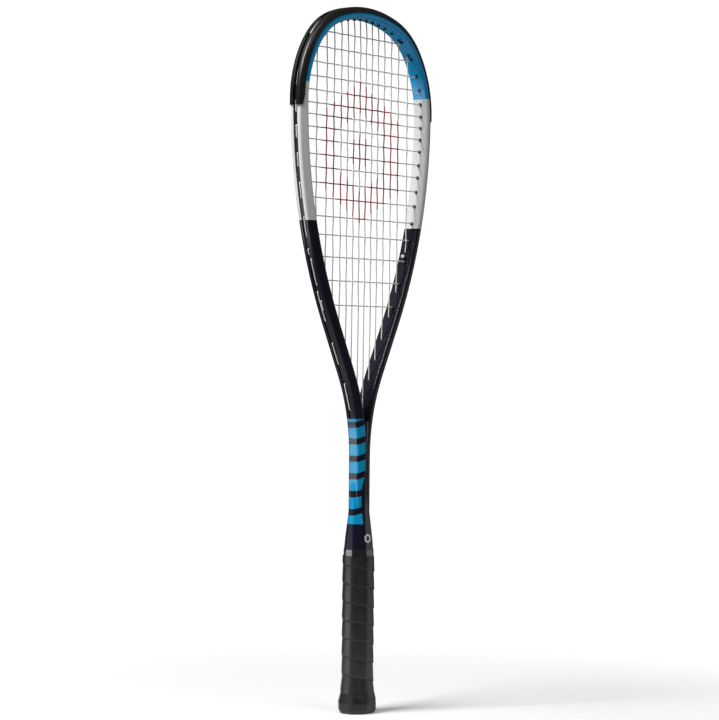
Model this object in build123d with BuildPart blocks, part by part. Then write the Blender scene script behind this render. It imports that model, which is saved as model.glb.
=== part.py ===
from build123d import *
from math import acos, cos, hypot, radians, sin, tan
import os

# Squash racket: a hollow hairpin frame, string guards, two strings and a wrapped handle.
# Millimetres. X is across the head, Y is square to the strings (front is -Y) and Z is up.
# The origin is the middle of the butt's end, with the head up.

# ---------------------------------------------------------------- overall
overall_length = 686.0
frame_width = 209.2

# ---------------------------------------------------------------- tube section
tube_width = 10.2
outer_face_depth = 11.5
inner_face_depth = 21.0
tube_corner_radius = 2.4
tube_wall = 1.2
cavity_corner_radius = 1.2

# ---------------------------------------------------------------- hoop, along its middle line
crown_radius = 144.0
crown_turn = 19.0
corner_radius = 69.0
corner_turn = 33.0
side_radius = 460.0
throat_turn = 26.9
throat_radius = 177.0
shaft_overlap = 0.5
web_rise = 34.0
web_width = 6.0
web_depth = 17.6
web_edge_slope = 0.8
web_face_width = 0.2

# ---------------------------------------------------------------- string groove and guards
groove_width = 5.0
groove_depth = 2.0
strip_thickness = 0.8
strip_clearance = 0.1
strip_end_drop = 400.0
bumper_end_drop = 103.0
guard_gap = 0.5
bumper_thickness = 1.5
bumper_lip_thickness = 0.9
bumper_lip_reach = 4.2
bumper_slot_width = 3.6
bumper_taper_length = 15.0
bumper_taper_margin = 1.0
barrel_radius = 1.5
barrel_clearance = 0.05
barrel_reach = 1.5
throat_barrel_reach = 0.3
barrel_flare_depth = 0.7

# ---------------------------------------------------------------- strings
string_diameter = 1.25
string_bore_clearance = 0.2
string_bend_radius = 1.25
string_layer_gap = 0.05
bend_room = 0.9
bend_share = 0.9
loop_share = 1.2
least_turn = 0.1
middle_spacing = 9.4
main_spacings = [9.6, 9.7, 10.2, 11.2, 11.6, 14.9]
first_cross_drop = 28.8
cross_spacings = [15.5, 15.0, 13.5, 13.3, 12.2, 11.2, 11.8, 12.0, 13.7, 12.4,
                  14.5, 14.5, 17.3, 17.5, 21.1, 22.5, 23.5]
main_tie_spacing = 5.5
upper_tie_spacing = 5.5
lower_tie_spacing = 9.5
least_hole_gap = 3.4
spreading_rounds = 40
knot_radius = 1.7
knot_length = 3.6

# ---------------------------------------------------------------- handle
grip_width = 32.0
grip_depth = 28.0
grip_thickness = 1.8
grip_corner_radius = 5.0
grip_top = 153.0
handle_flat = 0.42
flare_height = 34.0
flare_middle_height = 20.0
flare_middle_width = 34.2
flare_middle_depth = 30.2
butt_width = 38.6
butt_depth = 34.4
butt_corner_radius = 7.0
cap_lip_height = 10.0
cap_floor = 3.5
cap_edge_radius = 4.5
cap_edge_wall = 0.9
tape_thickness = 1.4
taper_bottom = 159.0
taper_length = 66.0
taper_shoulder_length = 9.0
taper_width = 30.4
taper_depth = 26.4
taper_middle_length = 33.0
taper_middle_width = 25.3
taper_middle_depth = 20.2
taper_wall = 1.5
taper_flat = 0.34
taper_corner_radius = 4.0
taper_middle_radius = 3.0
taper_end_radius = 2.0
taper_end_step = 0.1
taper_core_length = 20.0
taper_core_width = 22.6
taper_core_depth = 17.8
tube_end = 6.0
tack_length = 4.2
tack_radius = 0.7
tack_head_radius = 2.0
tack_head_height = 0.7
tack_head_seat = 0.2
tack_height = 18.0

# how far a cutting tool runs past what it cuts
overcut = 1.0

# ---------------------------------------------------------------- worked out from the sizes above
half_tube = tube_width / 2
crown_height = overall_length - bumper_thickness - half_tube
half_line_width = frame_width / 2 - half_tube
shaft_offset = half_tube - shaft_overlap
shaft_width = 2 * (shaft_offset + half_tube)
string_radius = string_diameter / 2
bore_radius = string_radius + string_bore_clearance
layer_offset = string_radius + string_layer_gap / 2
strip_face = half_tube - groove_depth + strip_thickness
string_run = strip_face + string_radius
core_width = grip_width - 2 * grip_thickness
core_depth = grip_depth - 2 * grip_thickness

# The half hoop is a chain of tangent pieces from the crown to the butt: radius, turn and length.
# The heading is 0 across the crown and 90 straight down. The throat bends the other way.
turned = crown_turn + corner_turn
reach_before_shoulder = (crown_radius * sin(radians(crown_turn))
                         + corner_radius * (sin(radians(turned)) - sin(radians(crown_turn))))
shoulder_radius = (half_line_width - reach_before_shoulder) / (1 - sin(radians(turned)))
arm_top_reach = half_line_width - side_radius * (1 - cos(radians(throat_turn)))
arm_bottom_reach = shaft_offset + throat_radius * (1 - cos(radians(throat_turn)))
arm_length = (arm_top_reach - arm_bottom_reach) / sin(radians(throat_turn))
widest_height = (crown_height - crown_radius * (1 - cos(radians(crown_turn)))
                 - corner_radius * (cos(radians(crown_turn)) - cos(radians(turned)))
                 - shoulder_radius * cos(radians(turned)))
shaft_top = (widest_height - side_radius * sin(radians(throat_turn))
             - arm_length * cos(radians(throat_turn)) - throat_radius * sin(radians(throat_turn)))

chain = [
    (crown_radius, crown_turn, crown_radius * radians(crown_turn)),
    (corner_radius, corner_turn, corner_radius * radians(corner_turn)),
    (shoulder_radius, 90 - turned, shoulder_radius * radians(90 - turned)),
    (side_radius, throat_turn, side_radius * radians(throat_turn)),
    (0, 0, arm_length),
    (throat_radius, -throat_turn, throat_radius * radians(throat_turn)),
    (0, 0, shaft_top - tube_end),
]
widest_station = sum(length for _, _, length in chain[:3])
throat_station = sum(length for _, _, length in chain[:6])
hoop_length = sum(length for _, _, length in chain)


def step_along(x, z, heading, piece, length):
    """Where a walk of some length along one piece of the chain ends, and its heading there."""
    radius, turn, full_length = piece
    if turn == 0:
        return x + length * cos(radians(heading)), z - length * sin(radians(heading)), heading
    sense = 1 if turn > 0 else -1
    new_heading = heading + turn * length / full_length
    x += sense * radius * (sin(radians(new_heading)) - sin(radians(heading)))
    z += sense * radius * (cos(radians(new_heading)) - cos(radians(heading)))
    return x, z, new_heading


def hoop_point(station, out=0.0):
    """Point of the hoop at a distance from the crown, moved outwards: x, z and heading.

    Stations to the left of the crown are negative, and so are their headings.
    """
    side = -1 if station < 0 else 1
    station = abs(station)
    x, z, heading = 0.0, crown_height, 0.0
    for piece in chain:
        length = min(station, piece[2])
        x, z, heading = step_along(x, z, heading, piece, length)
        station -= length
        if station <= 0:
            break
    x += out * sin(radians(heading))
    z += out * cos(radians(heading))
    return side * x, z, side * heading


def station_where(coordinate, value, low, high, out):
    """Station between two others where the line at some offset crosses a value of x (0) or z (1)."""
    rising = hoop_point(high, out)[coordinate] > hoop_point(low, out)[coordinate]
    for _ in range(40):
        middle = (low + high) / 2
        if (hoop_point(middle, out)[coordinate] < value) == rising:
            low = middle
        else:
            high = middle
    return middle


def hoop_path(first, last):
    """Line along the middle of the half hoop, between two stations."""
    with BuildLine(Plane.XZ) as path:
        start = 0.0
        for piece in chain:
            begin = max(first, start)
            end = min(last, start + piece[2])
            if end > begin:
                x, z, heading = hoop_point(begin)
                tangent = (cos(radians(heading)), -sin(radians(heading)))
                if piece[1] == 0:
                    Line((x, z), hoop_point(end)[:2])
                else:
                    JernArc((x, z), tangent, piece[0], -piece[1] * (end - begin) / piece[2])
            start += piece[2]
    return path.line


def section_plane(station):
    """Plane square to the hoop: its x runs outwards and its y is the racket's Y."""
    x, z, heading = hoop_point(station)
    outwards = (sin(radians(heading)), 0, cos(radians(heading)))
    along = (cos(radians(heading)), 0, -sin(radians(heading)))
    return Plane(origin=(x, 0, z), x_dir=outwards, z_dir=along)


def tube_outline(inset, outer_inset):
    """Corners of the tube's section, drawn in by one wall at the sides and another at the outer face."""
    inner = -half_tube + inset
    outer = half_tube - outer_inset
    slope = (inner_face_depth - outer_face_depth) / 2 / tube_width

    def half_depth(across):
        return inner_face_depth / 2 - slope * (across + half_tube) - inset
    return [(inner, -half_depth(inner)), (outer, -half_depth(outer)),
            (outer, half_depth(outer)), (inner, half_depth(inner))]


def tube_profile(inset=0.0, outer_inset=0.0, corner=tube_corner_radius):
    """The tube's section, lying flat: a trapezoid, deeper inside the hoop, with round corners."""
    with BuildSketch() as profile:
        with BuildLine():
            Polyline(*tube_outline(inset, outer_inset), close=True)
        make_face()
        fillet(profile.vertices(), corner)
    return profile.sketch


def section_at(station, profile):
    """A flat profile, set square to the hoop at a station."""
    with BuildSketch(section_plane(station)) as section:
        add(profile)
    return section.sketch


# ---------------------------------------------------------------- string stations
class Hole:
    """One string hole: its station, its Y and how far its barrel stands out inside the hoop."""

    def __init__(self, station, layer, reach):
        self.station = station
        self.layer = layer
        self.reach = reach

    def mirrored(self):
        """The same hole on the other side."""
        return Hole(-self.station, self.layer, self.reach)

    def point(self, out):
        """Point on the hole's axis, as (x, z)."""
        return hoop_point(self.station, out)[:2]

    def place(self, out):
        """Location on the hole's axis, with its Z outwards."""
        x, z, heading = hoop_point(self.station, out)
        axis = (sin(radians(heading)), 0, cos(radians(heading)))
        return Plane(origin=(x, self.layer, z), x_dir=(0, 1, 0), z_dir=axis).location


def straight_lines(first, spacings, sense):
    """Positions of the strings, from the first one on."""
    lines = [first]
    for spacing in spacings:
        lines.append(lines[-1] + sense * spacing)
    return lines


main_lines = straight_lines(middle_spacing / 2, main_spacings, 1)
cross_lines = straight_lines(overall_length - first_cross_drop, cross_spacings, -1)
hoop_turn_line = -half_tube - barrel_reach - bend_room
throat_turn_line = -half_tube - throat_barrel_reach - bend_room
strip_end_station = station_where(1, overall_length - strip_end_drop, widest_station, hoop_length, half_tube)
bumper_end_station = station_where(1, overall_length - bumper_end_drop, 0, throat_station, half_tube)


def string_holes(axis, lines, low, high, turn_line, layer, reach):
    """The right side's holes for a set of strings, one at each string's end."""
    stations = [station_where(axis, line, low, high, turn_line) for line in lines]
    return [Hole(station, layer, reach) for station in stations]


def spread(side_holes):
    """Moves crowded neighbours apart along the hoop, both by the same amount."""
    for _ in range(spreading_rounds):
        ordered = sorted(side_holes, key=lambda hole: hole.station)
        for first, last in zip(ordered, ordered[1:]):
            shortfall = max(0.0, least_hole_gap - (last.station - first.station))
            first.station -= shortfall / 2
            last.station += shortfall / 2


main_tops = string_holes(0, main_lines, 0, widest_station, hoop_turn_line, layer_offset, barrel_reach)
main_bottoms = string_holes(0, main_lines, widest_station, throat_station, throat_turn_line,
                            layer_offset, throat_barrel_reach)
cross_ends = string_holes(1, cross_lines, 0, throat_station, hoop_turn_line, -layer_offset, barrel_reach)
main_tie = Hole(main_bottoms[-1].station + main_tie_spacing, layer_offset, barrel_reach)
tie_holes = [Hole(cross_ends[0].station + upper_tie_spacing, -layer_offset, barrel_reach),
             Hole(cross_ends[-1].station - lower_tie_spacing, -layer_offset, barrel_reach)]
right_holes = main_tops + main_bottoms + cross_ends + [main_tie]
spread(right_holes + tie_holes)
cross_ties = [hole.mirrored() for hole in tie_holes]
left_holes = [hole.mirrored() for hole in right_holes] + cross_ties
holes = right_holes + left_holes
stations = sorted(hole.station for hole in left_holes)
print("closest holes, mm:", round(min(b - a for a, b in zip(stations, stations[1:])), 2))

# ---------------------------------------------------------------- frame
def octagon(height, width, depth, flat, corner):
    """Round-cornered octagon across the handle; flat is each main face's share of its side."""
    with BuildSketch(Plane.XY.offset(height)) as section:
        with BuildLine():
            Polyline((width / 2, -depth * flat / 2), (width / 2, depth * flat / 2),
                     (width * flat / 2, depth / 2), (-width * flat / 2, depth / 2),
                     (-width / 2, depth * flat / 2), (-width / 2, -depth * flat / 2),
                     (-width * flat / 2, -depth / 2), (width * flat / 2, -depth / 2), close=True)
        make_face()
        fillet(section.vertices(), corner)
    return section.sketch


with BuildPart() as shaft_web:
    with BuildSketch(Plane.XY.offset(tube_end)):
        Rectangle(web_width, web_depth)
    extrude(amount=shaft_top + web_rise - tube_end)
    chamfer(shaft_web.edges().filter_by(Axis.Z), length=web_edge_slope,
            length2=(web_width - web_face_width) / 2)

with BuildPart() as tube_cavity:
    sweep(sections=section_at(0, tube_profile(tube_wall, groove_depth + tube_wall, cavity_corner_radius)),
          path=hoop_path(0, hoop_length))
    mirror(about=Plane.YZ)

with BuildPart() as string_groove:
    with BuildSketch(section_plane(0)) as groove_section:
        with Locations((half_tube, 0)):
            Rectangle(2 * groove_depth, groove_width)
    sweep(sections=groove_section.sketch, path=hoop_path(0, strip_end_station))
    mirror(about=Plane.YZ)

with BuildPart() as taper_core:
    loft(sections=[octagon(taper_bottom, taper_width - 2 * taper_wall, taper_depth - 2 * taper_wall,
                           handle_flat, taper_corner_radius),
                   octagon(taper_bottom + taper_core_length, taper_core_width, taper_core_depth,
                           handle_flat, taper_corner_radius)], ruled=True)

with BuildPart() as taper:
    loft(sections=[octagon(taper_bottom, taper_width, taper_depth, handle_flat, taper_corner_radius),
                   octagon(taper_bottom + taper_shoulder_length, taper_width - taper_wall,
                           taper_depth - taper_wall, handle_flat, taper_corner_radius),
                   octagon(taper_bottom + taper_middle_length, taper_middle_width, taper_middle_depth,
                           taper_flat, taper_middle_radius),
                   octagon(taper_bottom + taper_length, shaft_width - 2 * taper_end_step,
                           web_depth - 2 * taper_end_step, taper_flat, taper_end_radius)])
    add(taper_core.part, mode=Mode.SUBTRACT)

with BuildPart() as frame:
    sweep(sections=section_at(0, tube_profile()), path=hoop_path(0, hoop_length))
    mirror(about=Plane.YZ)
    add(shaft_web.part)
    add(taper.part)
    add(tube_cavity.part, mode=Mode.SUBTRACT)
    add(string_groove.part, mode=Mode.SUBTRACT)
    with Locations(*[hole.place(-half_tube - overcut) for hole in holes]):
        Cylinder(barrel_radius + barrel_clearance, tube_width + 2 * overcut,
                 align=(Align.CENTER, Align.CENTER, Align.MIN), mode=Mode.SUBTRACT)
frame.part.label = "frame"

# ---------------------------------------------------------------- guards with their string barrels
def add_barrels(guard_holes):
    """Barrels from the strip through the tube, each with a bore that flares where the string turns."""
    for reach in sorted({hole.reach for hole in guard_holes}):
        tail = half_tube + reach
        with Locations(*[hole.place(-tail) for hole in guard_holes if hole.reach == reach]):
            Cylinder(barrel_radius, tail + strip_face - strip_thickness / 2,
                     align=(Align.CENTER, Align.CENTER, Align.MIN))
    with Locations(*[hole.place(-half_tube - barrel_reach - overcut) for hole in guard_holes]):
        Cylinder(bore_radius, half_tube + barrel_reach + strip_face + 2 * overcut,
                 align=(Align.CENTER, Align.CENTER, Align.MIN), mode=Mode.SUBTRACT)
    with Locations(*[hole.place(strip_face - barrel_flare_depth) for hole in guard_holes]):
        Cone(bore_radius, string_bend_radius, barrel_flare_depth,
             align=(Align.CENTER, Align.CENTER, Align.MIN), mode=Mode.SUBTRACT)


with BuildSketch() as strip_profile:
    with Locations((strip_face - strip_thickness / 2, 0)):
        Rectangle(strip_thickness, groove_width - 2 * strip_clearance)

strip_start = bumper_end_station + guard_gap
strip_end = strip_end_station - strip_clearance
upper_holes = [hole for hole in holes if abs(hole.station) < strip_start]

with BuildPart() as right_grommet_strip:
    sweep(sections=section_at(strip_start, strip_profile.sketch), path=hoop_path(strip_start, strip_end))
    add_barrels([hole for hole in holes if hole.station > strip_start])
right_grommet_strip.part.label = "right_grommet_strip"

with BuildPart() as strip_blank:
    sweep(sections=section_at(strip_start, strip_profile.sketch), path=hoop_path(strip_start, strip_end))

with BuildPart() as left_grommet_strip:
    add(mirror(strip_blank.part, about=Plane.YZ))
    add_barrels([hole for hole in holes if hole.station < -strip_start])
left_grommet_strip.part.label = "left_grommet_strip"

lip_edge = half_tube - bumper_lip_reach
with BuildSketch() as bumper_profile:
    with BuildLine():
        Polyline(*tube_outline(-bumper_lip_thickness, -bumper_thickness), close=True)
    make_face()
    fillet(bumper_profile.vertices().group_by(Axis.X)[-1], tube_corner_radius + bumper_lip_thickness)
    with Locations((lip_edge, 0)):
        Rectangle(2 * tube_width, 2 * inner_face_depth, align=(Align.MAX, Align.CENTER), mode=Mode.SUBTRACT)
    add(tube_profile(-barrel_clearance, -barrel_clearance), mode=Mode.SUBTRACT)
    with Locations((strip_face - strip_thickness, 0)):
        Rectangle(strip_thickness + groove_depth, groove_width - 2 * strip_clearance,
                  align=(Align.MIN, Align.CENTER))
    with Locations((strip_face, 0)):
        Rectangle(2 * tube_width, bumper_slot_width, align=(Align.MIN, Align.CENTER), mode=Mode.SUBTRACT)

with BuildPart() as bumper_taper:
    with BuildSketch(Plane.XZ.offset(groove_width / 2 + strip_clearance)):
        with BuildLine():
            Polyline(hoop_point(bumper_end_station - bumper_taper_length, lip_edge - bumper_taper_margin)[:2],
                     hoop_point(bumper_end_station + overcut, half_tube - groove_depth)[:2],
                     hoop_point(bumper_end_station + overcut, lip_edge - 3 * bumper_taper_margin)[:2],
                     hoop_point(bumper_end_station - bumper_taper_length,
                                lip_edge - 3 * bumper_taper_margin)[:2], close=True)
        make_face()
    extrude(amount=inner_face_depth)
    mirror(about=Plane.XZ)
    mirror(about=Plane.YZ)

with BuildPart() as bumper_guard:
    sweep(sections=section_at(0, bumper_profile.sketch), path=hoop_path(0, bumper_end_station))
    mirror(about=Plane.YZ)
    add(bumper_taper.part, mode=Mode.SUBTRACT)
    add_barrels(upper_holes)
bumper_guard.part.label = "bumper_guard"

# ---------------------------------------------------------------- strings
def outside_corner(first, last):
    """Corner of a string between two neighbouring exits, where the round groove bends it."""
    x1, z1, heading1 = hoop_point(first.station, string_run)
    x2, z2, heading2 = hoop_point(last.station, string_run)
    turn = radians(heading2 - heading1)
    if abs(turn) < radians(least_turn) or (turn > 0) != (last.station > first.station):
        return []
    back = (x2 - x1) * sin(radians(heading2)) + (z2 - z1) * cos(radians(heading2))
    ahead = back / sin(turn)
    x = x1 + ahead * cos(radians(heading1))
    z = z1 - ahead * sin(radians(heading1))
    reach = min(hypot(x - x1, z - z1), hypot(x2 - x, z2 - z)) - loop_share * string_bend_radius
    return [(x, z, reach)]


def string_corners(passes):
    """Corners of a string through its holes: x, z and how far before each one it starts to bend."""
    corners = []
    last_hole = None
    for way_in, way_out in passes:
        if last_hole:
            corners += outside_corner(last_hole, way_in)
        for hole, outs in ((way_in, (string_run, -1)), (way_out, (-1, string_run))):
            for out in outs:
                if out > 0:
                    corners.append((*hole.point(string_run), string_bend_radius))
                else:
                    corners.append((*hole.point(-half_tube - hole.reach - bend_room), bend_share * bend_room))
        last_hole = way_out
    return corners


def tie_corners(last_hole, tie):
    """End of a string: along the groove's floor, and back in through the tie hole to its knot."""
    return outside_corner(last_hole, tie) + [
        (*tie.point(string_run), string_bend_radius),
        (*tie.point(-half_tube - tie.reach - knot_length / 2), 0)]


def bends(corners):
    """The radius at each corner between the two ends, from its turn and where its bend starts."""
    radii = []
    for (x0, z0, _), (x1, z1, reach), (x2, z2, _) in zip(corners, corners[1:], corners[2:]):
        before = (x1 - x0, z1 - z0)
        after = (x2 - x1, z2 - z1)
        cosine = (before[0] * after[0] + before[1] * after[1]) / (hypot(*before) * hypot(*after))
        radii.append(reach / tan(acos(min(1.0, cosine)) / 2))
    return radii


def lay_string(corners, layer, ties):
    """A string along its corners, with a knot inside the hoop at each tie hole."""
    with BuildLine(Plane.XZ.offset(-layer)) as line:
        FilletPolyline(*[corner[:2] for corner in corners], radius=bends(corners))
    route = line.wire()
    with BuildSketch(Plane(origin=route @ 0, z_dir=route % 0)) as section:
        Circle(string_radius)
    sweep(sections=section.sketch, path=route)
    with Locations(*[tie.place(-half_tube - tie.reach - knot_length) for tie in ties]):
        Cylinder(knot_radius, knot_length, align=(Align.CENTER, Align.CENTER, Align.MIN))
    print("string length, m:", round(route.length / 1000, 2))
    print("tightest bend, mm:", round(min(bends(corners)), 2))


right_mains = [(top, bottom) if number % 2 == 0 else (bottom, top)
               for number, (top, bottom) in enumerate(zip(main_tops, main_bottoms))]
left_mains = [(way_out.mirrored(), way_in.mirrored()) for way_in, way_out in reversed(right_mains)]
crosses = [(end.mirrored(), end) if number % 2 == 0 else (end, end.mirrored())
           for number, end in enumerate(cross_ends)]


def tied_string(passes, ties):
    """All the corners of a string, from the knot at its first tie hole to the knot at its last."""
    start = tie_corners(passes[0][0], ties[0])
    finish = tie_corners(passes[-1][1], ties[1])
    return start[::-1] + string_corners(passes) + finish


main_ties = [main_tie.mirrored(), main_tie]
main_corners = tied_string(left_mains + right_mains, main_ties)
cross_corners = tied_string(crosses, cross_ties)

with BuildPart() as main_string:
    lay_string(main_corners, layer_offset, main_ties)
main_string.part.label = "main_string"

with BuildPart() as cross_string:
    lay_string(cross_corners, -layer_offset, cross_ties)
cross_string.part.label = "cross_string"

# ---------------------------------------------------------------- handle
cap_sections = [(flare_height, core_width + 2 * cap_edge_wall, core_depth + 2 * cap_edge_wall),
                (flare_middle_height, flare_middle_width - 2 * grip_thickness,
                 flare_middle_depth - 2 * grip_thickness),
                (cap_lip_height, butt_width - 2 * grip_thickness, butt_depth - 2 * grip_thickness)]
grip_sections = [(flare_height, grip_width, grip_depth),
                 (flare_middle_height, flare_middle_width, flare_middle_depth),
                 (cap_lip_height, butt_width, butt_depth)]


def flared(sections):
    """Faces of a flare, one octagon at each height."""
    return [octagon(height, width, depth, handle_flat, grip_corner_radius)
            for height, width, depth in sections]


core_top = taper_bottom + taper_core_length + overcut
core_station = station_where(1, core_top, throat_station, hoop_length, 0)

with BuildPart() as shaft_core:
    sweep(sections=section_at(core_station, tube_profile()), path=hoop_path(core_station, hoop_length))
    mirror(about=Plane.YZ)
    add(shaft_web.part)

with BuildPart() as cap_tacks:
    with Locations(Location((core_width / 2 + tack_head_seat, 0, tack_height), (0, 90, 0))):
        Cylinder(tack_head_radius, tack_head_height, align=(Align.CENTER, Align.CENTER, Align.MIN))
        Cylinder(tack_radius, tack_length, align=(Align.CENTER, Align.CENTER, Align.MAX))
    mirror(about=Plane.YZ)
cap_tacks.part.label = "cap_tacks"

with BuildPart() as grip_tack:
    with Locations(Location((0, -core_depth / 2 - tack_head_seat, tack_height), (90, 0, 0))):
        Cylinder(tack_head_radius, tack_head_height, align=(Align.CENTER, Align.CENTER, Align.MIN))
        Cylinder(tack_radius, tack_length, align=(Align.CENTER, Align.CENTER, Align.MAX))
grip_tack.part.label = "grip_tack"

with BuildPart() as handle_foam:
    with BuildSketch(Plane.XY.offset(cap_floor)):
        add(octagon(0, core_width, core_depth, handle_flat, grip_corner_radius))
    extrude(amount=taper_bottom - cap_floor)
    add(taper_core.part)
    add(shaft_core.part, mode=Mode.SUBTRACT)
    add(cap_tacks.part, mode=Mode.SUBTRACT)
    add(grip_tack.part, mode=Mode.SUBTRACT)
handle_foam.part.label = "handle_foam"

with BuildPart() as butt_cap:
    with BuildSketch(Plane.XY):
        add(octagon(0, butt_width, butt_depth, handle_flat, butt_corner_radius))
    extrude(amount=cap_lip_height)
    fillet(butt_cap.faces().sort_by(Axis.Z)[0].edges(), cap_edge_radius)
    loft(sections=flared(cap_sections), ruled=True)
    with BuildSketch(Plane.XY.offset(cap_floor)):
        add(octagon(0, core_width, core_depth, handle_flat, grip_corner_radius))
    extrude(amount=flare_height, mode=Mode.SUBTRACT)
    for tacks in (cap_tacks, grip_tack):
        add(tacks.part, mode=Mode.SUBTRACT)
butt_cap.part.label = "butt_cap"

with BuildPart() as grip_wrap:
    with BuildSketch(Plane.XY.offset(flare_height)):
        add(octagon(0, grip_width, grip_depth, handle_flat, grip_corner_radius))
    extrude(amount=grip_top - flare_height)
    loft(sections=flared(grip_sections), ruled=True)
    with BuildSketch(Plane.XY.offset(cap_lip_height)):
        add(octagon(0, core_width, core_depth, handle_flat, grip_corner_radius))
    extrude(amount=grip_top - cap_lip_height, mode=Mode.SUBTRACT)
    loft(sections=flared(cap_sections), ruled=True, mode=Mode.SUBTRACT)
grip_wrap.part.label = "grip_wrap"

with BuildPart() as finishing_tape:
    with BuildSketch(Plane.XY.offset(grip_top)):
        add(octagon(0, core_width + 2 * tape_thickness, core_depth + 2 * tape_thickness,
                    handle_flat, grip_corner_radius))
        add(octagon(0, core_width, core_depth, handle_flat, grip_corner_radius), mode=Mode.SUBTRACT)
    extrude(amount=taper_bottom - grip_top)
finishing_tape.part.label = "finishing_tape"

# ---------------------------------------------------------------- files
os.makedirs("parts", exist_ok=True)
export_step(frame.part, "parts/frame.step")
export_step(bumper_guard.part, "parts/bumper_guard.step")
export_step(left_grommet_strip.part, "parts/left_grommet_strip.step")
export_step(right_grommet_strip.part, "parts/right_grommet_strip.step")
export_step(main_string.part, "parts/main_string.step")
export_step(cross_string.part, "parts/cross_string.step")
export_step(handle_foam.part, "parts/handle_foam.step")
export_step(butt_cap.part, "parts/butt_cap.step")
export_step(cap_tacks.part, "parts/cap_tacks.step")
export_step(grip_tack.part, "parts/grip_tack.step")
export_step(grip_wrap.part, "parts/grip_wrap.step")
export_step(finishing_tape.part, "parts/finishing_tape.step")
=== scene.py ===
from math import ceil, cos, hypot, pi, radians, sin
import bpy
from mathutils import Matrix, Vector


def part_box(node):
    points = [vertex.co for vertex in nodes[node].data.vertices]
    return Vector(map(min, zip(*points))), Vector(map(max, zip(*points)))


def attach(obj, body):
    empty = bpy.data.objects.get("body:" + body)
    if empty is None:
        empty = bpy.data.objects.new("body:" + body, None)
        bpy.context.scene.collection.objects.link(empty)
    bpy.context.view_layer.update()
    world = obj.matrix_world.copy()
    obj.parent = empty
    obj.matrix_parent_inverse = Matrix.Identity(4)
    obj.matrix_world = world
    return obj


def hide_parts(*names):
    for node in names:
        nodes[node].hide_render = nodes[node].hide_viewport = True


# A squash racket standing on its butt: painted frame, string guards, woven strings and a wrapped handle.
# Metres. X is across the head, Y is square to the strings (front is -Y) and Z is up.
MM = 0.001

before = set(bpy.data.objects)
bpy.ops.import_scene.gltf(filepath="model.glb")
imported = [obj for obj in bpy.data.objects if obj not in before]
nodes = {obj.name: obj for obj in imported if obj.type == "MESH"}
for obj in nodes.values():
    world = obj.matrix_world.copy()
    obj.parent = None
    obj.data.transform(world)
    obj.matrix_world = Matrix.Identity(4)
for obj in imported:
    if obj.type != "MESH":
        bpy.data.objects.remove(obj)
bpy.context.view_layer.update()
bpy.ops.object.select_all(action="DESELECT")


# ---------------------------------------------------------------- the hoop's line, as the frame has it
TUBE_WIDTH = 10.2 * MM
HALF_TUBE = TUBE_WIDTH / 2
BUMPER_THICKNESS = 1.5 * MM
CROWN_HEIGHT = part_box("bumper_guard")[1].z - BUMPER_THICKNESS - HALF_TUBE
HALF_LINE_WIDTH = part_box("frame")[1].x - HALF_TUBE
CROWN_RADIUS = 144 * MM
CROWN_TURN = radians(19)
CORNER_RADIUS = 69 * MM
CORNER_TURN = radians(33)
SIDE_RADIUS = 460 * MM
THROAT_TURN = radians(26.9)
THROAT_RADIUS = 177 * MM
SHAFT_OFFSET = 4.6 * MM
GROOVE_DEPTH = 2.0 * MM
STRIP_THICKNESS = 0.8 * MM
STRIP_FACE = HALF_TUBE - GROOVE_DEPTH + STRIP_THICKNESS
HALVINGS = 40


def hoop_chain():
    """The half hoop from the crown down, as tangent pieces: radius, turn and length."""
    turned = CROWN_TURN + CORNER_TURN
    reach = CROWN_RADIUS * sin(CROWN_TURN) + CORNER_RADIUS * (sin(turned) - sin(CROWN_TURN))
    shoulder = (HALF_LINE_WIDTH - reach) / (1 - sin(turned))
    bend = 1 - cos(THROAT_TURN)
    arm = (HALF_LINE_WIDTH - SIDE_RADIUS * bend - SHAFT_OFFSET - THROAT_RADIUS * bend) / sin(THROAT_TURN)
    arcs = [(CROWN_RADIUS, CROWN_TURN), (CORNER_RADIUS, CORNER_TURN), (shoulder, pi / 2 - turned),
            (SIDE_RADIUS, THROAT_TURN), (0, arm), (THROAT_RADIUS, -THROAT_TURN)]
    return [(radius, turn, radius * abs(turn)) if radius else (0, 0, turn) for radius, turn in arcs]


CHAIN = hoop_chain()
WIDEST_STATION = sum(length for _, _, length in CHAIN[:3])
THROAT_STATION = sum(length for _, _, length in CHAIN)


def hoop_point(station, out=0.0):
    """Point of the hoop at a distance from the crown, moved outwards: x, z and heading.

    Stations to the left of the crown are negative, and so are their headings.
    """
    side = -1 if station < 0 else 1
    left = abs(station)
    x, z, heading = 0.0, CROWN_HEIGHT, 0.0
    for radius, turn, length in CHAIN:
        part = min(left, length)
        if radius:
            sense = 1 if turn > 0 else -1
            ahead = heading + turn * part / length
            x += sense * radius * (sin(ahead) - sin(heading))
            z += sense * radius * (cos(ahead) - cos(heading))
            heading = ahead
        else:
            x += part * cos(heading)
            z -= part * sin(heading)
        left -= part
        if left <= 0:
            break
    return side * (x + out * sin(heading)), z + out * cos(heading), side * heading


def station_where(coordinate, value, low, high, out):
    """Station between two others where the line at some offset crosses a value of x (0) or z (1)."""
    rising = hoop_point(high, out)[coordinate] > hoop_point(low, out)[coordinate]
    for _ in range(HALVINGS):
        middle = (low + high) / 2
        if (hoop_point(middle, out)[coordinate] < value) == rising:
            low = middle
        else:
            high = middle
    return middle


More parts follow.
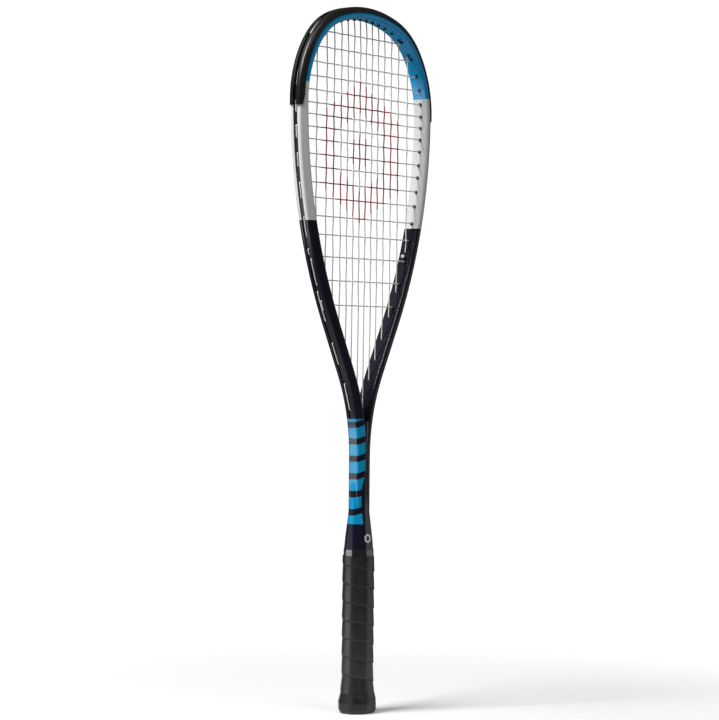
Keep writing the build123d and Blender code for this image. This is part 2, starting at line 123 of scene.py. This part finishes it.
# ---------------------------------------------------------------- shader expressions
class Value:
    """One socket of a node tree. Arithmetic on values adds Math nodes."""

    def __init__(self, shade, socket):
        self.shade = shade
        self.socket = socket

    def math(self, operation, *others):
        return self.shade.node("Math", {"operation": operation}, self, *others)

    def __add__(self, other):
        return self.math("ADD", other)

    def __sub__(self, other):
        return self.math("SUBTRACT", other)

    def __rsub__(self, other):
        return self.shade.node("Math", {"operation": "SUBTRACT"}, other, self)

    def __mul__(self, other):
        return self.math("MULTIPLY", other)

    def __truediv__(self, other):
        return self.math("DIVIDE", other)

    def __gt__(self, other):
        return self.math("GREATER_THAN", other)

    def __lt__(self, other):
        return self.math("LESS_THAN", other)

    def __abs__(self):
        return self.math("ABSOLUTE")

    __radd__ = __add__
    __rmul__ = __mul__

    def most(self, other):
        return self.math("MAXIMUM", other)

    def fraction(self):
        return self.math("FRACT")

    def power(self, exponent):
        return self.math("POWER", exponent)

    def between(self, low, high):
        """1 between two values, and 0 outside them."""
        return (self > low) * (self < high)

    def ramp(self, low, high, start=0.0, end=1.0):
        """start up to low, end from high on, and a smooth change between."""
        settings = {"interpolation_type": "SMOOTHSTEP"}
        return self.shade.node("MapRange", settings, self, low, high, start, end)


class Shade:
    """A material and its Principled shader. Fixed numbers go straight on the shader's sockets."""

    def __init__(self, name, **fixed):
        self.material = bpy.data.materials.new(name)
        self.material.use_nodes = True
        self.tree = self.material.node_tree
        self.surface = self.tree.nodes["Principled BSDF"]
        for socket, value in fixed.items():
            self.surface.inputs[socket.replace("_", " ")].default_value = value
        place = self.node("TexCoord", {}, output="Object")
        self.place = place
        split = self.tree.nodes.new("ShaderNodeSeparateXYZ")
        self.tree.links.new(place.socket, split.inputs[0])
        self.x, self.y, self.z = (Value(self, split.outputs[axis]) for axis in range(3))

    def node(self, kind, settings, *inputs, output=0, **named):
        """Adds a node: its settings first, then its inputs in order or by name. Returns an output."""
        node = self.tree.nodes.new("ShaderNode" + kind)
        for setting, value in settings.items():
            setattr(node, setting, value)
        pairs = list(enumerate(inputs)) + [(name.replace("_", " "), value) for name, value in named.items()]
        for key, value in pairs:
            if isinstance(value, Value):
                self.tree.links.new(value.socket, node.inputs[key])
            else:
                node.inputs[key].default_value = value
        return Value(self, node.outputs[output])

    def mix(self, mask, colour_a, colour_b):
        """colour_a where the mask is 0, and colour_b where it is 1."""
        node = self.tree.nodes.new("ShaderNodeMix")
        node.data_type = "RGBA"
        for key, value in ((0, mask), (6, colour_a), (7, colour_b)):
            if isinstance(value, Value):
                self.tree.links.new(value.socket, node.inputs[key])
            else:
                node.inputs[key].default_value = value
        return Value(self, node.outputs[2])

    def noise(self, scale, detail=2.0, roughness=0.5, place=None):
        """Noise from 0 to 1 over the object, with scale in features per metre."""
        return self.node("TexNoise", {}, Vector=place or self.place, Scale=scale, Detail=detail,
                         Roughness=roughness)

    def stretched(self, scale_x, scale_y, scale_z):
        """Object coordinates, scaled differently along each axis."""
        return self.node("Mapping", {}, Vector=self.place, Scale=(scale_x, scale_y, scale_z))

    def set(self, **values):
        """Links values to the shader's sockets."""
        for socket, value in values.items():
            self.tree.links.new(value.socket, self.surface.inputs[socket.replace("_", " ")])

    def bump(self, height, distance, strength=1.0):
        """Bumps the surface by a height from 0 to 1, over a distance in metres."""
        self.set(Normal=self.node("Bump", {}, Strength=strength, Distance=distance, Height=height))


def colour(red, green, blue):
    """A colour from 0 to 255 as displayed, in the shader's linear values."""
    return tuple((value / 255 / 12.92) if value < 10.3 else ((value / 255 + 0.055) / 1.055) ** 2.4
                 for value in (red, green, blue)) + (1.0,)


# ---------------------------------------------------------------- finishes
NAVY_TOP = 475 * MM
WHITE_TOP = 605.3 * MM
BARS_BOTTOM = 184 * MM
BARS_TOP = 286 * MM
BAR_PITCH = 17 * MM
BAR_SLANT = 0.35
BAR_START = 0.10
BAR_END = 0.74
BAR_WRAP = 5.0 * MM
RING_X = -1.5 * MM
RING_Z = 170 * MM
RING_OUTER = (4.4 * MM, 4.6 * MM)
RING_INNER = (2.6 * MM, 2.8 * MM)
SIGN_RED = colour(176, 24, 58)


def hexagon(x, z, middle_x, middle_z, half_width, half_height):
    """1 inside a hexagon with points at its top and bottom, and 0 outside."""
    across = abs(x - middle_x) / half_width
    up = abs(z - middle_z) / half_height
    return (across < 1) * (across * 0.5 + up < 1)


def paint_finish():
    """Clear-coated paint: blue crown, white shoulders and navy below, with plain blue bars on the shaft."""
    shade = Shade("frame_paint", Coat_Roughness=0.16, Coat_IOR=1.4, IOR=1.5)
    x, y, z = shade.x, shade.y, shade.z
    grain = shade.noise(2600, 1)
    navy = shade.mix(grain, colour(9, 11, 28), colour(16, 18, 38))
    white = shade.mix(shade.noise(60, 2), colour(224, 227, 223), colour(233, 235, 231))
    blue = shade.mix(grain, colour(0, 152, 212), colour(0, 164, 224))
    base = shade.mix(z > NAVY_TOP, navy, white)
    base = shade.mix(z > WHITE_TOP, base, blue)
    # plain slanted bars on the outer faces of the shaft, on the front of one side and the back of the other
    phase = ((z - BARS_BOTTOM + abs(x) * BAR_SLANT) / BAR_PITCH).fraction()
    bars = phase.between(BAR_START, BAR_END) * z.between(BARS_BOTTOM, BARS_TOP)
    limit = z.ramp(215 * MM, 235 * MM, 6.0 * MM, 2.4 * MM)
    front = (x < -1 * limit) * (y < BAR_WRAP)
    back = (x > limit) * (y > -BAR_WRAP)
    base = shade.mix(bars * front.most(back), base, colour(0, 148, 198))
    # a small plain hexagon ring above the grip
    outer = hexagon(x, z, RING_X, RING_Z, *RING_OUTER)
    inner = hexagon(x, z, RING_X, RING_Z, *RING_INNER)
    base = shade.mix((outer - inner) * (y < 0), base, colour(225, 228, 224))
    shade.set(Base_Color=base)
    shade.set(Roughness=shade.noise(420, 3).ramp(0.3, 0.7, 0.27, 0.35))
    shade.surface.inputs["Specular IOR Level"].default_value = 0.25
    shade.surface.inputs["Coat Weight"].default_value = 0.5
    shade.bump(shade.noise(900, 1), 0.012 * MM, 0.6)
    return shade.material


def nylon_finish():
    """Black moulded nylon with a fine spark-eroded grain."""
    shade = Shade("guard_nylon", IOR=1.5)
    shade.set(Base_Color=shade.mix(shade.noise(500, 3), colour(14, 14, 15), colour(24, 24, 25)))
    shade.set(Roughness=shade.noise(700, 2).ramp(0.3, 0.7, 0.28, 0.38))
    shade.bump(shade.noise(6500, 2), 0.03 * MM, 0.7)
    return shade.material


STENCIL_X = -4 * MM
STENCIL_Z = 545 * MM
STENCIL_HALF_WIDTH = 62 * MM
STENCIL_HALF_HEIGHT = 69 * MM
STENCIL_HOLE = 0.56
STENCIL_SPOT = 0.26
STENCIL_WOBBLE = 0.6 * MM


def string_finish(name, plain):
    """Pale string with a plain red hexagon ring and spot stencilled on it."""
    shade = Shade(name, IOR=1.53, Coat_Roughness=0.12)
    x, z = shade.x, shade.z
    wobbly = z + (shade.noise(900, 2) - 0.5) * STENCIL_WOBBLE

    def sign(height, share):
        return hexagon(x, height, STENCIL_X, STENCIL_Z,
                       STENCIL_HALF_WIDTH * share, STENCIL_HALF_HEIGHT * share)

    outer = sign(wobbly, 1)
    hole = sign(wobbly, STENCIL_HOLE)
    spot = sign(z, STENCIL_SPOT)
    ink = (outer - hole + spot) * shade.noise(1500, 3).ramp(0.22, 0.34, 0.75, 1.0)
    base = shade.mix(shade.noise(800, 2), plain, colour(244, 245, 240))
    shade.set(Base_Color=shade.mix(ink, base, SIGN_RED))
    shade.set(Roughness=ink.ramp(0, 1, 0.28, 0.5))
    shade.surface.inputs["Coat Weight"].default_value = 0.3
    shade.bump(shade.noise(4000, 1), 0.02 * MM, 0.5)
    return shade.material


def grip_finish():
    """Tacky black tape: a fine pebbled skin that shines a little, with painted shade lines along the edges
    of its turns.
    """
    shade = Shade("grip_skin", IOR=1.5, Coat_Roughness=0.3)
    tone = shade.noise(240, 4)
    base = shade.mix(tone, colour(14, 13, 11), colour(27, 25, 22))
    turn = shade.node("Math", {"operation": "ARCTAN2"}, shade.y, shade.x) / (2 * pi)
    phase = ((shade.z - (GRIP_BOTTOM - WRAP_PITCH)) / WRAP_PITCH + turn).fraction()
    # painted shade: a dark line where each turn's edge overlaps the next, standing in for the shadow there,
    # with rougher skin and no coat on the line
    painted_crease_shade = phase.ramp(0.0, 0.09, 1.0, 0.0).most(phase.ramp(0.975, 1.0))
    shade.set(Base_Color=shade.mix(painted_crease_shade, base, colour(3, 3, 3)))
    pebbles = shade.node("TexVoronoi", {"feature": "F1"}, Vector=shade.place, Scale=1500)
    shade.set(Roughness=tone.ramp(0.3, 0.75, 0.33, 0.47) + painted_crease_shade * 0.4)
    shade.set(Coat_Weight=(1 - painted_crease_shade) * 0.35)
    shade.bump(pebbles * 0.6 + shade.noise(420, 3) * 0.8, 0.09 * MM, 0.7)
    return shade.material


def cap_finish():
    """Black moulded cap, satin and slightly mottled."""
    shade = Shade("cap_plastic", IOR=1.5)
    shade.set(Base_Color=shade.mix(shade.noise(260, 3), colour(13, 12, 11), colour(22, 20, 18)))
    shade.set(Roughness=shade.noise(320, 2).ramp(0.3, 0.7, 0.34, 0.46))
    shade.bump(shade.noise(5200, 2), 0.03 * MM, 0.6)
    return shade.material


def band_finish():
    """Glossy black finishing tape with faint wrinkles along its length."""
    shade = Shade("band_tape", IOR=1.5, Coat_Roughness=0.06)
    wrinkles = shade.noise(1.0, 3, 0.6, shade.stretched(90, 90, 900))
    shade.set(Base_Color=shade.mix(wrinkles, colour(18, 18, 19), colour(30, 30, 31)))
    shade.set(Roughness=wrinkles.ramp(0.3, 0.7, 0.18, 0.3))
    shade.surface.inputs["Coat Weight"].default_value = 0.6
    shade.bump(wrinkles, 0.08 * MM, 0.6)
    return shade.material


def plain_finish(name, dark, light, roughness, metallic=0.0):
    """A mottled finish for the pieces inside the handle."""
    shade = Shade(name, Metallic=metallic)
    shade.set(Base_Color=shade.mix(shade.noise(700, 3), dark, light))
    shade.set(Roughness=shade.noise(500, 2).ramp(0.3, 0.7, roughness, roughness + 0.12))
    shade.bump(shade.noise(3000, 2), 0.04 * MM, 0.6)
    return shade.material


def cover(piece, material):
    """Gives a piece one material."""
    piece.data.materials.clear()
    piece.data.materials.append(material)


# ---------------------------------------------------------------- strings
STRING_RADIUS = 0.625 * MM
LAYER_OFFSET = 0.65 * MM
MAIN_WEAVE = 0.3 * MM
CROSS_WEAVE = 0.92 * MM
STRING_RUN = STRIP_FACE + STRING_RADIUS
MAIN_GAPS = [9.6, 9.7, 10.2, 11.2, 11.6, 14.9]
FIRST_MAIN = 4.7 * MM
CROSS_GAPS = [15.5, 15.0, 13.5, 13.3, 12.2, 11.2, 11.8, 12.0, 13.7, 12.4,
              14.5, 14.5, 17.3, 17.5, 21.1, 22.5, 23.5]
FIRST_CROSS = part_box("bumper_guard")[1].z - 28.8 * MM
BARREL_REACH = 1.5 * MM
THROAT_BARREL_REACH = 0.3 * MM
BEND_ROOM = 0.9 * MM
OUTSIDE_BEND = 1.25 * MM
INSIDE_BEND = 0.8 * MM
MAIN_TIE_SPACING = 5.5 * MM
UPPER_TIE_SPACING = 5.5 * MM
LOWER_TIE_SPACING = 9.5 * MM
LEAST_HOLE_GAP = 3.4 * MM
SPREADING_ROUNDS = 40
KNOT_LENGTH = 3.6 * MM
KNOT_TURNS = 2.5
KNOT_STEPS = 20
KNOT_COIL = 1.05 * MM


def lines(first, gaps, sense):
    """Positions of the strings, from the first one on, with the gaps in millimetres."""
    places = [first]
    for gap in gaps:
        places.append(places[-1] + sense * gap * MM)
    return places


MAINS = lines(FIRST_MAIN, MAIN_GAPS, 1)
CROSSES = lines(FIRST_CROSS, CROSS_GAPS, -1)


class Hole:
    """One string hole: its station on the hoop and how far its barrel stands out inside."""

    def __init__(self, station, reach):
        self.station = station
        self.reach = reach
        self.mouth = -HALF_TUBE - reach - BEND_ROOM

    def mirrored(self):
        return Hole(-self.station, self.reach)

    def point(self, out):
        return hoop_point(self.station, out)[:2]


def holes(axis, places, low, high, reach):
    """The right side's holes for a set of strings."""
    mouth = -HALF_TUBE - reach - BEND_ROOM
    return [Hole(station_where(axis, place, low, high, mouth), reach) for place in places]


def spread(side_holes):
    """Moves crowded neighbours apart along the hoop, both by the same amount."""
    for _ in range(SPREADING_ROUNDS):
        ordered = sorted(side_holes, key=lambda hole: hole.station)
        for first, last in zip(ordered, ordered[1:]):
            shortfall = max(0.0, LEAST_HOLE_GAP - (last.station - first.station))
            first.station -= shortfall / 2
            last.station += shortfall / 2


MAIN_TOPS = holes(0, MAINS, 0, WIDEST_STATION, BARREL_REACH)
MAIN_BOTTOMS = holes(0, MAINS, WIDEST_STATION, THROAT_STATION, THROAT_BARREL_REACH)
CROSS_ENDS = holes(1, CROSSES, 0, THROAT_STATION, BARREL_REACH)
MAIN_TIE = Hole(MAIN_BOTTOMS[-1].station + MAIN_TIE_SPACING, BARREL_REACH)
UPPER_TIE = Hole(CROSS_ENDS[0].station + UPPER_TIE_SPACING, BARREL_REACH)
LOWER_TIE = Hole(CROSS_ENDS[-1].station - LOWER_TIE_SPACING, BARREL_REACH)
spread(MAIN_TOPS + MAIN_BOTTOMS + CROSS_ENDS + [MAIN_TIE, UPPER_TIE, LOWER_TIE])


def bend(x, y, z, reach):
    """A stop on a string's route where it turns, starting this far before the corner."""
    return Vector((x, y, z)), reach


def outside_stop(first, last, layer):
    """The corner of a string's run along the round groove, between two neighbouring holes."""
    x1, z1, heading1 = hoop_point(first.station, STRING_RUN)
    x2, z2, heading2 = hoop_point(last.station, STRING_RUN)
    turn = heading2 - heading1
    if abs(turn) < radians(0.1) or (turn > 0) != (last.station > first.station):
        return []
    ahead = ((x2 - x1) * sin(heading2) + (z2 - z1) * cos(heading2)) / sin(turn)
    x = x1 + ahead * cos(heading1)
    z = z1 - ahead * sin(heading1)
    reach = min(hypot(x - x1, z - z1), hypot(x2 - x, z2 - z)) - 1.2 * OUTSIDE_BEND
    return [bend(x, layer, z, reach)]


def crossings(start, end, axis, places, shift):
    """Stops where one string passes over or under the others between its two mouths."""
    found = []
    low, high = sorted((start[axis], end[axis]))
    for number, place in enumerate(places):
        if low + 2 * MM < place < high - 2 * MM:
            point = [start[0], start[1]]
            point[axis] = place
            side = 1 if number % 2 == 0 else -1
            found.append((Vector((point[0], shift * side, point[1])), 0))
    if start[axis] > end[axis]:
        found.sort(key=lambda stop: -stop[0][axis * 2])
    else:
        found.sort(key=lambda stop: stop[0][axis * 2])
    return found


def string_stops(passes, layer, axis, places, shifts):
    """All the stops of a string through its holes, woven between the others."""
    stops = []
    last = None
    for (way_in, way_out), shift in zip(passes, shifts):
        if last:
            stops += outside_stop(last, way_in, layer)
        x, z = way_in.point(STRING_RUN)
        stops.append(bend(x, layer, z, OUTSIDE_BEND))
        start = way_in.point(way_in.mouth)
        end = way_out.point(way_out.mouth)
        stops.append(bend(start[0], layer, start[1], INSIDE_BEND))
        stops += crossings(start, end, axis, places, shift)
        stops.append(bend(end[0], layer, end[1], INSIDE_BEND))
        x, z = way_out.point(STRING_RUN)
        stops.append(bend(x, layer, z, OUTSIDE_BEND))
        last = way_out
    return stops


def tie_stops(last, tie, layer):
    """The end of a string: along the groove, and in through its tie hole."""
    x, z = tie.point(STRING_RUN)
    end_x, end_z = tie.point(-HALF_TUBE - tie.reach - KNOT_LENGTH)
    corner = bend(x, layer, z, OUTSIDE_BEND)
    end = bend(end_x, layer, end_z, 0)
    return outside_stop(last, tie, layer) + [corner, end]


def string_spline(curve, stops):
    """A smooth spline through the stops: round at each bend, and level where strings cross."""
    knots = []
    for index, (point, reach) in enumerate(stops):
        before = stops[max(index - 1, 0)][0]
        after = stops[min(index + 1, len(stops) - 1)][0]
        if reach:
            way_in = (point - before).normalized()
            way_out = (after - point).normalized()
            start = point - way_in * reach
            end = point + way_out * reach
            knots.append((start, start - way_in * reach * 0.5, start + way_in * reach * 0.55))
            knots.append((end, end - way_out * reach * 0.55, end + way_out * reach * 0.5))
        else:
            along = (after - before)
            along.y = 0
            along.normalize()
            gap = min((point - before).length or 1, (after - point).length or 1)
            knots.append((point, point - along * gap * 0.38, point + along * gap * 0.38))
    spline = curve.splines.new("BEZIER")
    spline.bezier_points.add(len(knots) - 1)
    for knot, (point, left, right) in zip(spline.bezier_points, knots):
        knot.handle_left_type = knot.handle_right_type = "FREE"
        knot.co, knot.handle_left, knot.handle_right = point, left, right


def knot_spline(curve, tie, layer):
    """A tie-off knot: two and a half turns of string round its own end, against the barrel."""
    x, z, heading = hoop_point(tie.station, -HALF_TUBE - tie.reach)
    axis = Vector((-sin(heading), 0, -cos(heading)))
    along = Vector((cos(heading), 0, -sin(heading)))
    across = Vector((0, 1, 0))
    spline = curve.splines.new("BEZIER")
    spline.bezier_points.add(KNOT_STEPS)
    for step, knot in enumerate(spline.bezier_points):
        angle = KNOT_TURNS * 2 * pi * step / KNOT_STEPS
        depth = STRING_RADIUS + (KNOT_LENGTH - 2 * STRING_RADIUS) * step / KNOT_STEPS
        knot.co = (Vector((x, layer, z)) + axis * depth
                   + (along * cos(angle) + across * sin(angle)) * KNOT_COIL)
        knot.handle_left_type = knot.handle_right_type = "AUTO"


def lay_string(name, stops, ties, layer, material, node):
    """A string as one round curve along its stops, with its knots."""
    curve = bpy.data.curves.new(name, "CURVE")
    curve.dimensions = "3D"
    curve.bevel_depth = STRING_RADIUS
    curve.bevel_resolution = 2
    curve.resolution_u = 6
    curve.use_fill_caps = True
    string_spline(curve, stops)
    for tie in ties:
        knot_spline(curve, tie, layer)
    piece = bpy.data.objects.new(name, curve)
    bpy.context.scene.collection.objects.link(piece)
    cover(piece, material)
    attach(piece, "root")
    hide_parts(node)


def lay_strings():
    """The main string and the cross string, woven over and under each other."""
    all_mains = [-place for place in reversed(MAINS)] + MAINS
    right = [(top, bottom) if number % 2 == 0 else (bottom, top)
             for number, (top, bottom) in enumerate(zip(MAIN_TOPS, MAIN_BOTTOMS))]
    left = [(way_out.mirrored(), way_in.mirrored()) for way_in, way_out in reversed(right)]
    passes = left + right
    shifts = [MAIN_WEAVE * (1 if number % 2 == 0 else -1) for number in range(len(passes))]
    ties = [MAIN_TIE.mirrored(), MAIN_TIE]
    stops = string_stops(passes, LAYER_OFFSET, 1, CROSSES, shifts)
    stops = (tie_stops(passes[0][0], ties[0], LAYER_OFFSET)[::-1] + stops
             + tie_stops(passes[-1][1], ties[1], LAYER_OFFSET))
    lay_string("woven_main_string", stops, ties, LAYER_OFFSET,
               string_finish("main_string_skin", colour(236, 237, 232)), "main_string")

    passes = [(end.mirrored(), end) if number % 2 == 0 else (end, end.mirrored())
              for number, end in enumerate(CROSS_ENDS)]
    shifts = [-CROSS_WEAVE * (1 if number % 2 == 0 else -1) for number in range(len(passes))]
    ties = [UPPER_TIE.mirrored(), LOWER_TIE.mirrored()]
    stops = string_stops(passes, -LAYER_OFFSET, 0, all_mains, shifts)
    stops = (tie_stops(passes[0][0], ties[0], -LAYER_OFFSET)[::-1] + stops
             + tie_stops(passes[-1][1], ties[1], -LAYER_OFFSET))
    lay_string("woven_cross_string", stops, ties, -LAYER_OFFSET,
               string_finish("cross_string_skin", colour(230, 231, 227)), "cross_string")


# ---------------------------------------------------------------- handle
HANDLE_FLAT = 0.42
CORNER_POWER = 16
GRIP_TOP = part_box("grip_wrap")[1].z
GRIP_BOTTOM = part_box("grip_wrap")[0].z
WRAP_PITCH = 17.8 * MM
WRAP_STEP = 0.75 * MM
WRAP_COLUMNS = 96
WRAP_RISES = [0, 0.012, 0.03, 0.06, 0.12, 0.22, 0.34, 0.46, 0.58, 0.70, 0.80, 0.88, 0.94, 0.98, 1.0]
WRAP_LIFTS = [0, 0.55, 0.92, 1.0, 0.97, 0.9, 0.8, 0.68, 0.56, 0.44, 0.32, 0.22, 0.12, 0.04, 0]
SKIN_THICKNESS = 0.8 * MM
GRIP_SECTIONS = [(10 * MM, 38.6 * MM, 34.4 * MM), (20 * MM, 34.2 * MM, 30.2 * MM),
                 (34 * MM, 32.0 * MM, 28.0 * MM)]


def octagon_radius(angle, width, depth):
    """Distance from the handle's middle to its rounded octagon, in one direction."""
    slant = hypot(width, depth)
    faces = [((1, 0), width / 2), ((0, 1), depth / 2),
             ((depth / slant, width / slant), width * depth * (1 + HANDLE_FLAT) / 2 / slant)]
    across, along = abs(cos(angle)), abs(sin(angle))
    total = sum(((across * normal[0] + along * normal[1]) / far) ** CORNER_POWER for normal, far in faces)
    return total ** (-1 / CORNER_POWER)


def section_at(sections, height):
    """Width and depth at a height, with a smooth change between the given sections."""
    if height <= sections[0][0]:
        return sections[0][1:]
    for (low, *start), (high, *end) in zip(sections, sections[1:]):
        if height <= high:
            share = (height - low) / (high - low)
            return [a + (b - a) * share for a, b in zip(start, end)]
    return sections[-1][1:]


def shaped_grid(name, columns, rows, place):
    """A grid whose points are placed by their column and row shares, from 0 to 1."""
    bpy.ops.mesh.primitive_grid_add(x_subdivisions=columns, y_subdivisions=rows, size=2)
    piece = bpy.context.object
    piece.name = name
    for vertex in piece.data.vertices:
        vertex.co = place((vertex.co.x + 1) / 2, (vertex.co.y + 1) / 2)
    return piece


def wrap_grip():
    """Cushioned tape wound up the handle in overlapping turns, as one skin."""
    turns = ceil((GRIP_TOP - GRIP_BOTTOM) / WRAP_PITCH) + 1
    rows = len(WRAP_RISES) - 1

    def place(u, v):
        row = round(v * rows)
        angle = -2 * pi * turns * u
        height = GRIP_BOTTOM - WRAP_PITCH + WRAP_PITCH * (turns * u + WRAP_RISES[row])
        width, depth = section_at(GRIP_SECTIONS, height)
        radius = octagon_radius(angle, width, depth) - WRAP_STEP * (1 - WRAP_LIFTS[row])
        return radius * cos(angle), radius * sin(angle), height

    piece = shaped_grid("wound_grip", WRAP_COLUMNS * turns, rows, place)
    bpy.ops.object.mode_set(mode="EDIT")
    bpy.ops.mesh.select_all(action="SELECT")
    bpy.ops.mesh.remove_doubles(threshold=0.01 * MM)
    for height, above in ((GRIP_BOTTOM, False), (GRIP_TOP, True)):
        bpy.ops.mesh.select_all(action="SELECT")
        bpy.ops.mesh.bisect(plane_co=(0, 0, height), plane_no=(0, 0, 1),
                            clear_inner=not above, clear_outer=above)
    bpy.ops.mesh.select_all(action="SELECT")
    bpy.ops.mesh.normals_make_consistent(inside=False)
    bpy.ops.object.mode_set(mode="OBJECT")
    wall = piece.modifiers.new("wall", "SOLIDIFY")
    wall.thickness = SKIN_THICKNESS
    wall.offset = -1
    bpy.ops.object.modifier_apply(modifier=wall.name)
    bpy.ops.object.shade_smooth_by_angle(angle=radians(50))
    cover(piece, grip_finish())
    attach(piece, "root")
    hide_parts("grip_wrap")
    bpy.ops.object.select_all(action="DESELECT")


# ---------------------------------------------------------------- stage, camera and lights
VIEW_ANGLE = 52.33
VIEW_DISTANCE = 2.412
VIEW_HEIGHT = 343.2 * MM
VIEW_ROLL = radians(0.58)
VIEW_SHIFT = -0.0014
LENS = 123.8
SENSOR_WIDTH = 36
FLOOR_RADIUS = 0.75
FADE_START = 0.2
FADE_END = 0.96
FLOOR_GLOW = 0.16
STUDIO_LIGHT = 0.10
WHITE_LIGHT = 1.05
WHITE = (1, 1, 1, 1)
# name, angle round the racket, distance, height, height aimed at, size and power of each light
LIGHTS = [("side_box", 126, 2.0, -0.1, 0.05, (0.4, 0.6), 4),
          ("high_left", 105, 1.5, 2.2, 0.35, (1.0, 1.0), 66),
          ("high_front", 10, 1.3, 2.4, 0.35, (1.0, 1.0), 9),
          ("right_box", -55, 2.4, 0.5, 0.35, (0.5, 1.6), 2.5)]


def area_light(name, place, aim, size, power):
    """A soft rectangular light that looks at a point."""
    bpy.ops.object.light_add(type="AREA", location=place)
    lamp = bpy.context.object
    lamp.name = name
    lamp.rotation_euler = (Vector(aim) - Vector(place)).to_track_quat("-Z", "Y").to_euler()
    lamp.data.shape = "RECTANGLE"
    lamp.data.size, lamp.data.size_y = size
    lamp.data.energy = power


def seen_from(angle, distance, height):
    """A place around the racket: 0 degrees is in front, and positive turns to its left side."""
    return (-distance * sin(radians(angle)), -distance * cos(radians(angle)), height)


def lay_floor():
    """A plain pale floor round the racket, which fades away into the white surroundings."""
    bpy.ops.mesh.primitive_circle_add(vertices=96, radius=FLOOR_RADIUS, fill_type="NGON")
    floor = bpy.context.object
    floor.name = "floor"
    shade = Shade("floor_paint", Roughness=0.9, Emission_Color=WHITE, Emission_Strength=FLOOR_GLOW)
    shade.set(Base_Color=shade.mix(shade.noise(3, 2), colour(244, 244, 244), colour(248, 248, 248)))
    far = (shade.x * shade.x + shade.y * shade.y).power(0.5)
    clear = shade.tree.nodes.new("ShaderNodeBsdfTransparent")
    fade = shade.node("MixShader", {}, far.ramp(FADE_START * FLOOR_RADIUS, FADE_END * FLOOR_RADIUS),
                      Value(shade, shade.surface.outputs[0]), Value(shade, clear.outputs[0]))
    output = shade.tree.nodes["Material Output"]
    shade.tree.links.new(fade.socket, output.inputs["Surface"])
    cover(floor, shade.material)


def light_world():
    """White surroundings for the eye, and a dim studio for everything that the racket reflects."""
    world = bpy.data.worlds.new("studio")
    bpy.context.scene.world = world
    world.use_nodes = True
    tree = world.node_tree
    dim = tree.nodes["Background"]
    dim.inputs["Color"].default_value = WHITE
    dim.inputs["Strength"].default_value = STUDIO_LIGHT
    white = tree.nodes.new("ShaderNodeBackground")
    white.inputs["Color"].default_value = WHITE
    white.inputs["Strength"].default_value = WHITE_LIGHT
    path = tree.nodes.new("ShaderNodeLightPath")
    either = tree.nodes.new("ShaderNodeMixShader")
    tree.links.new(path.outputs["Is Camera Ray"], either.inputs[0])
    tree.links.new(dim.outputs[0], either.inputs[1])
    tree.links.new(white.outputs[0], either.inputs[2])
    tree.links.new(either.outputs[0], tree.nodes["World Output"].inputs["Surface"])


def build_stage():
    """Floor, white surroundings, soft lights and the camera."""
    lay_floor()
    light_world()
    for name, angle, distance, height, aim, size, power in LIGHTS:
        area_light(name, seen_from(angle, distance, height), (0, 0, aim), size, power)

    turned = Matrix.Rotation(-radians(VIEW_ANGLE), 4, "Z") @ Matrix.Rotation(radians(90), 4, "X")
    place = seen_from(VIEW_ANGLE, VIEW_DISTANCE, VIEW_HEIGHT)
    bpy.ops.object.camera_add()
    camera = bpy.context.object
    camera.matrix_world = Matrix.Translation(place) @ turned @ Matrix.Rotation(VIEW_ROLL, 4, "Z")
    camera.data.shift_x = VIEW_SHIFT
    camera.data.lens = LENS
    camera.data.sensor_width = SENSOR_WIDTH
    camera.data.clip_end = 100
    bpy.context.scene.camera = camera
    bpy.context.scene.view_settings.view_transform = "Standard"


build_stage()
paint = paint_finish()
nylon = nylon_finish()
steel = plain_finish("tack_steel", colour(150, 150, 150), colour(175, 175, 175), 0.3, 1.0)
foam = plain_finish("core_foam", colour(52, 50, 46), colour(66, 64, 58), 0.7)
for node, material in (("frame", paint), ("bumper_guard", nylon), ("left_grommet_strip", nylon),
                       ("right_grommet_strip", nylon), ("butt_cap", cap_finish()),
                       ("finishing_tape", band_finish()), ("handle_foam", foam),
                       ("cap_tacks", steel), ("grip_tack", steel)):
    cover(nodes[node], material)
lay_strings()
wrap_grip()
